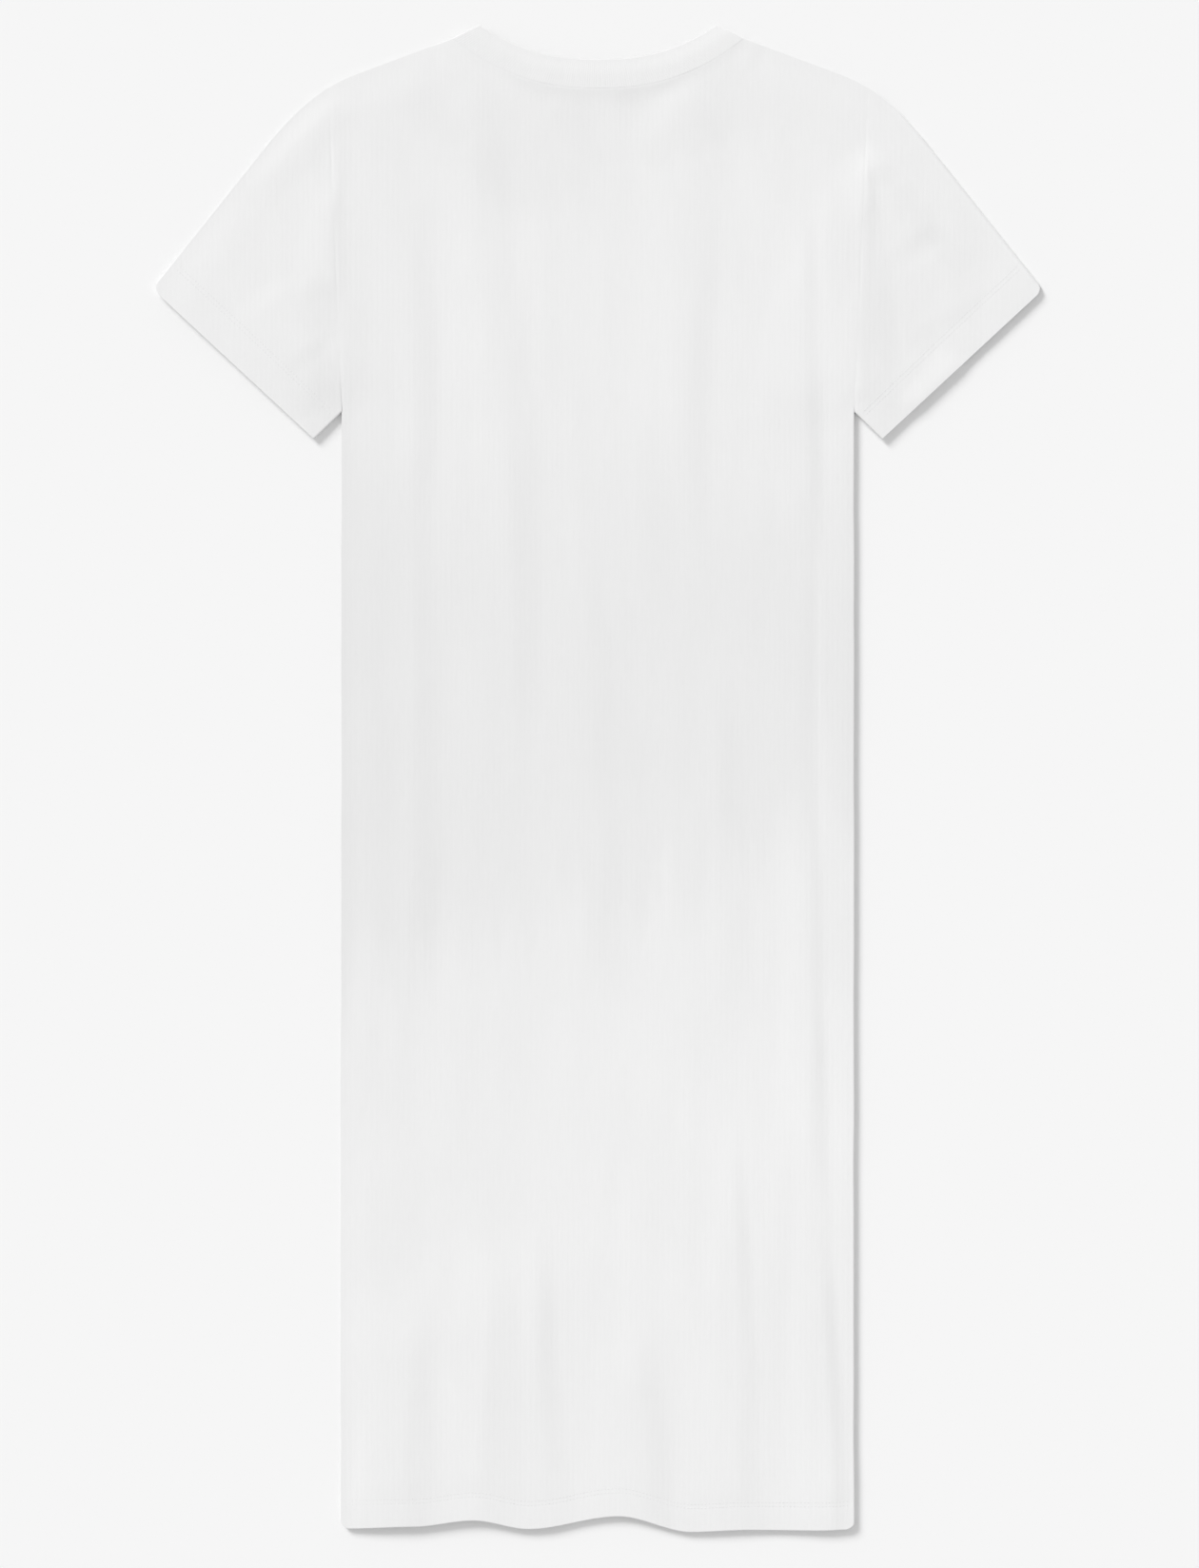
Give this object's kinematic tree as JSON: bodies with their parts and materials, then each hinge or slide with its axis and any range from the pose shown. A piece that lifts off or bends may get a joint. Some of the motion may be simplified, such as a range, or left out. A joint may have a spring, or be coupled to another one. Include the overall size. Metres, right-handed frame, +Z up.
{
  "type": "t-shirt dress",
  "caption": "Plain white short-sleeved T-shirt dress with a ribbed crew neck, laid flat with its back up in long soft folds.",
  "frame": {"origin": "middle of the laid dress, on the surface that it lies on", "axes": "+Y towards the neck, +X to the right of the laid dress seen from above, +Z up from the surface"},
  "size_m": [0.7236, 1.2345, 0.0057],
  "materials": {
    "jersey": "matte single jersey knit, fine vertical ribs of stitches, soft folds",
    "rib": "matte 1x1 rib knit",
    "thread": "matte sewing thread"
  },
  "bodies": {
    "root": {"back_panel": "jersey", "front_panel": "jersey", "sleeve_left": "jersey", "sleeve_right": "jersey", "neckband_back": "rib", "neckband_front": "rib"}
  },
  "joints": []
}
